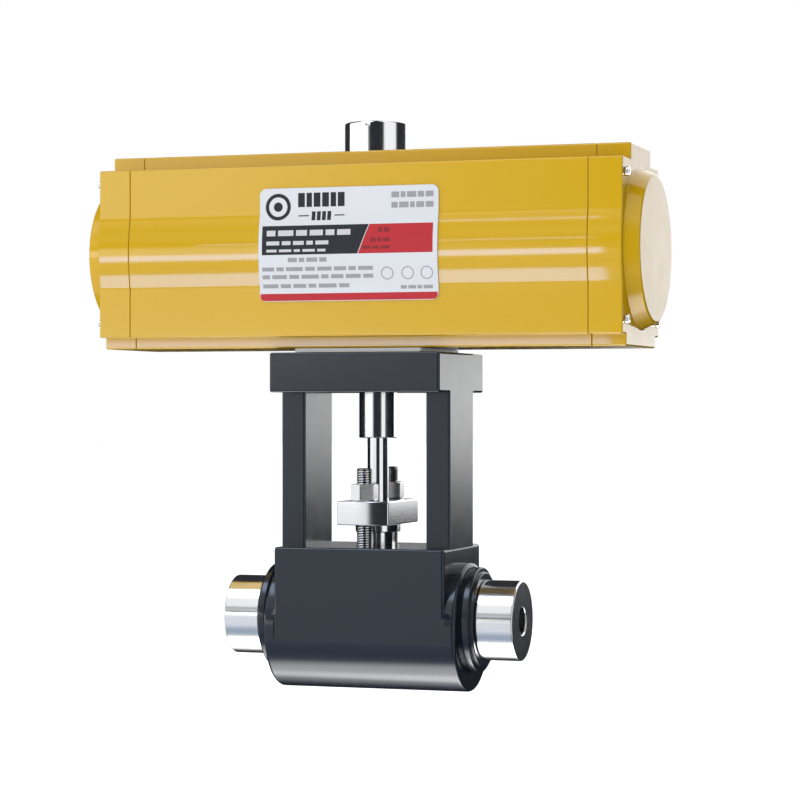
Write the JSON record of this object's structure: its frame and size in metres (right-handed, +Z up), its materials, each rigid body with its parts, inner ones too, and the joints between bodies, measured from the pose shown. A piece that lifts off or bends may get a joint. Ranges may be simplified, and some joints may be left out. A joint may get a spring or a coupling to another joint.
{
  "type": "pneumatically actuated ball valve",
  "caption": "Long rotary pneumatic actuator on a high-pressure ball valve with an open yoke, a packing gland and bored pipe stubs.",
  "frame": {"origin": "where the pipe axis crosses the stem axis, at the centre of the ball", "axes": "+X along the pipe and the actuator's cylinder; +Z up the stem towards the actuator; the nameplate faces -Y and the air connections face +Y"},
  "size_m": [0.4148, 0.1314, 0.4127],
  "materials": {
    "yellow_enamel": "glossy golden yellow enamel over aluminium",
    "gunmetal_paint": "satin blue-grey gunmetal paint",
    "polished_steel": "polished bright steel",
    "machined_steel": "turned and milled, plated",
    "spring_steel": "oil-tempered",
    "cast_aluminium": "machined casting",
    "black_rubber": "matt",
    "white_ptfe": "waxy",
    "bearing_polymer": "smooth",
    "spacer_grey": "smooth light grey",
    "nameplate_print": "printed, semi-gloss"
  },
  "bodies": {
    "base": {"actuator_body": "yellow_enamel", "end_cap_gasket_left": "black_rubber", "end_cap_gasket_right": "black_rubber", "end_cap_left": "yellow_enamel", "end_cap_right": "yellow_enamel", "end_cap_screw_left_back_lower": "polished_steel", "end_cap_screw_left_back_upper": "polished_steel", "end_cap_screw_left_front_lower": "polished_steel", "end_cap_screw_left_front_upper": "polished_steel", "end_cap_screw_right_back_lower": "polished_steel", "end_cap_screw_right_back_upper": "polished_steel", "end_cap_screw_right_front_lower": "polished_steel", "end_cap_screw_right_front_upper": "polished_steel", "gland_flange": "polished_steel", "gland_follower": "polished_steel", "gland_nut_back": "polished_steel", "gland_nut_front": "polished_steel", "gland_stud_back": "polished_steel", "gland_stud_front": "polished_steel", "mounting_screw_back_left": "machined_steel", "mounting_screw_back_right": "machined_steel", "mounting_screw_front_left": "machined_steel", "mounting_screw_front_right": "machined_steel", "mounting_spacer": "spacer_grey", "nameplate": "nameplate_print", "packing_ring_1": "white_ptfe", "packing_ring_2": "white_ptfe", "packing_ring_3": "white_ptfe", "pinion_bearing_lower": "bearing_polymer", "pinion_bearing_upper": "bearing_polymer", "pinion_thrust_washer": "machined_steel", "pipe_stub_left": "polished_steel", "pipe_stub_right": "polished_steel", "return_spring_left": "spring_steel", "return_spring_right": "spring_steel", "seat_left": "white_ptfe", "seat_right": "white_ptfe", "seat_spring_left": "spring_steel", "seat_spring_right": "spring_steel", "stem_thrust_washer": "white_ptfe", "travel_stop_nut_left": "machined_steel", "travel_stop_nut_right": "machined_steel", "travel_stop_screw_left": "machined_steel", "travel_stop_screw_right": "machined_steel", "valve_body": "gunmetal_paint", "yoke_bushing": "bearing_polymer"},
    "rotor": {"pinion_shaft": "polished_steel", "pinion_snap_ring": "spring_steel", "stop_cam": "machined_steel", "drive_coupling": "polished_steel", "valve_stem": "polished_steel", "ball": "polished_steel"},
    "piston_left_group": {"piston_left": "cast_aluminium", "piston_guide_ring_left": "white_ptfe", "piston_seal_left": "black_rubber"},
    "piston_right_group": {"piston_right": "cast_aluminium", "piston_guide_ring_right": "white_ptfe", "piston_seal_right": "black_rubber"}
  },
  "joints": [
    {"name": "pinion_turn", "type": "hinge", "parent": "base", "child": "rotor", "pos_m": [0, 0, 0.2654], "axis": [0, 0, 1], "range_deg": [0, 90], "stiffness_Nm_per_rad": 4, "springref_deg": -20.05},
    {"name": "piston_right_slide", "type": "slide", "parent": "base", "child": "piston_right_group", "axis": [1, 0, 0], "range_m": [0, 0.0275], "deforming": ["return_spring_right"]},
    {"name": "piston_left_slide", "type": "slide", "parent": "base", "child": "piston_left_group", "axis": [-1, 0, 0], "range_m": [0, 0.0275], "deforming": ["return_spring_left"]}
  ],
  "couplings": [
    {"joint": "piston_right_slide", "follows": "pinion_turn", "m_per_rad": 0.0175},
    {"joint": "piston_left_slide", "follows": "pinion_turn", "m_per_rad": 0.0175}
  ]
}
